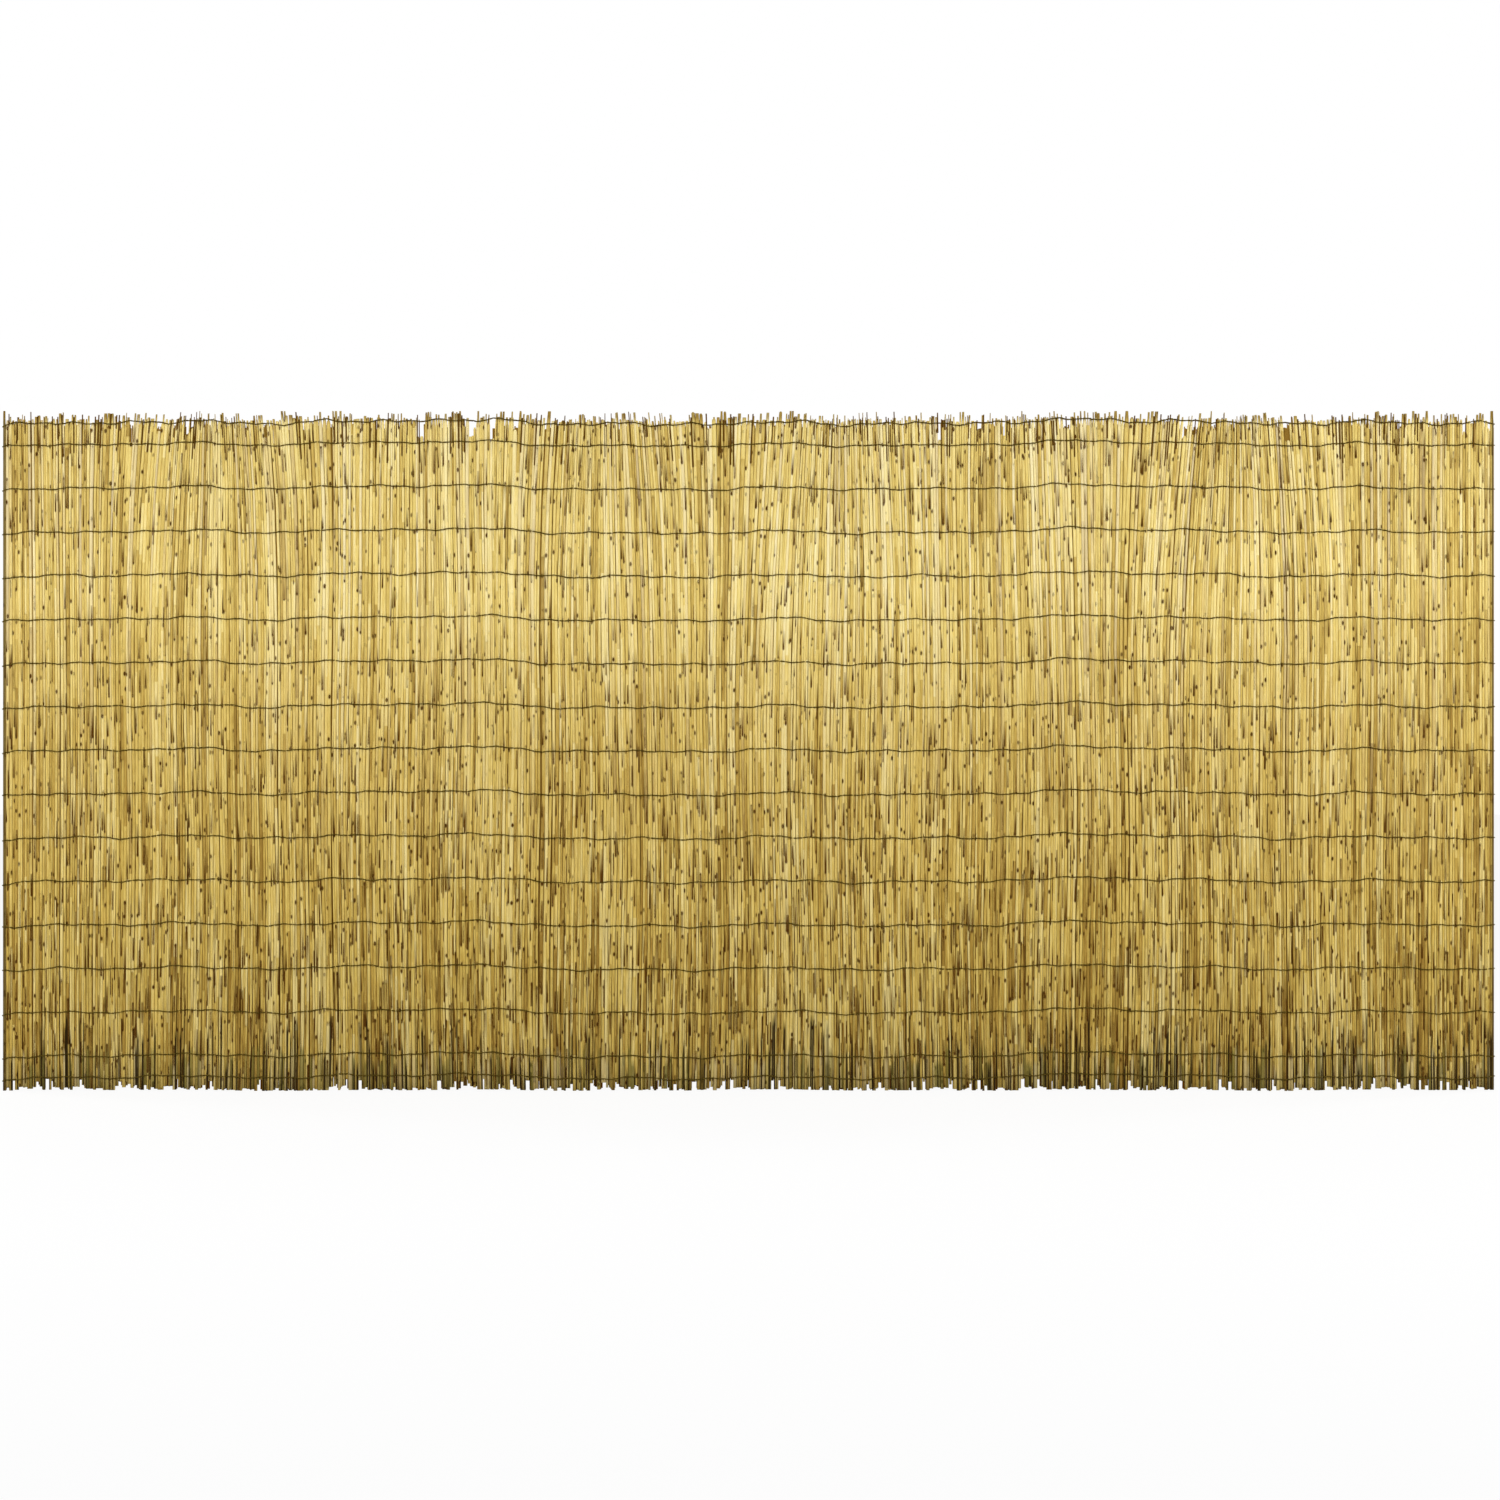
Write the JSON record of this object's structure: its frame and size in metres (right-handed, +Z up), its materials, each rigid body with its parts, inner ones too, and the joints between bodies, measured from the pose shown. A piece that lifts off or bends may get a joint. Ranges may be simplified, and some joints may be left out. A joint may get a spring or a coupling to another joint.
{
  "type": "bamboo reed screen",
  "caption": "Long flat garden screen of thin dry reeds bound side by side by rows of wire, with ragged top and bottom ends, tied to a fence or railing for privacy and shade.",
  "frame": {"origin": "on the ground, at the middle of the screen's bottom edge and of its thickness", "axes": "+X along the screen, +Y from its front to its back, +Z up along the reeds"},
  "size_m": [4.0056, 0.0176, 1.824],
  "materials": {
    "reed": "dry and matt",
    "wire": "dull and weathered"
  },
  "bodies": {
    "root": {"reed_mat": "reed", "front_wire_01": "wire", "front_wire_02": "wire", "front_wire_03": "wire", "front_wire_04": "wire", "front_wire_05": "wire", "front_wire_06": "wire", "front_wire_07": "wire", "front_wire_08": "wire", "front_wire_09": "wire", "front_wire_10": "wire", "front_wire_11": "wire", "front_wire_12": "wire", "front_wire_13": "wire", "front_wire_14": "wire", "front_wire_15": "wire", "front_wire_16": "wire", "front_wire_17": "wire", "back_wire_01": "wire", "back_wire_02": "wire", "back_wire_03": "wire", "back_wire_04": "wire", "back_wire_05": "wire", "back_wire_06": "wire", "back_wire_07": "wire", "back_wire_08": "wire", "back_wire_09": "wire", "back_wire_10": "wire", "back_wire_11": "wire", "back_wire_12": "wire", "back_wire_13": "wire", "back_wire_14": "wire", "back_wire_15": "wire", "back_wire_16": "wire", "back_wire_17": "wire"}
  },
  "joints": []
}
